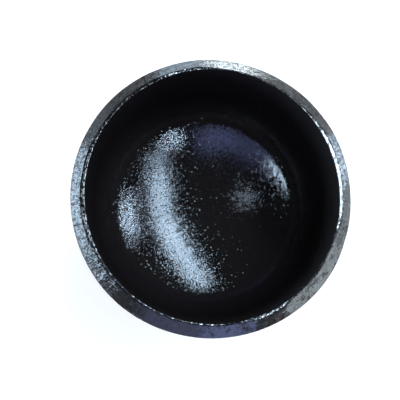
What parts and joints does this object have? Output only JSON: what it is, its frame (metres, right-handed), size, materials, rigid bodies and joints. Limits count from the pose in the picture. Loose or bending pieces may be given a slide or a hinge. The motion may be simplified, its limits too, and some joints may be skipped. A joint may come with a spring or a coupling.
{
  "type": "pipe cap",
  "caption": "Butt-weld pipe cap: a round steel cup with a straight collar, a semi-elliptical crown and a bevelled weld end, black varnished.",
  "frame": {"origin": "centre of the weld end, in the plane of the root face", "axes": "+Z along the cap's axis, out of its mouth towards the pipe; X and Y lie across it, alike by symmetry"},
  "size_m": [0.1142, 0.1142, 0.064],
  "materials": {
    "black_varnish": "gloss black varnish over shot-blasted carbon steel"
  },
  "bodies": {
    "root": {"cap_shell": "black_varnish"}
  },
  "joints": []
}
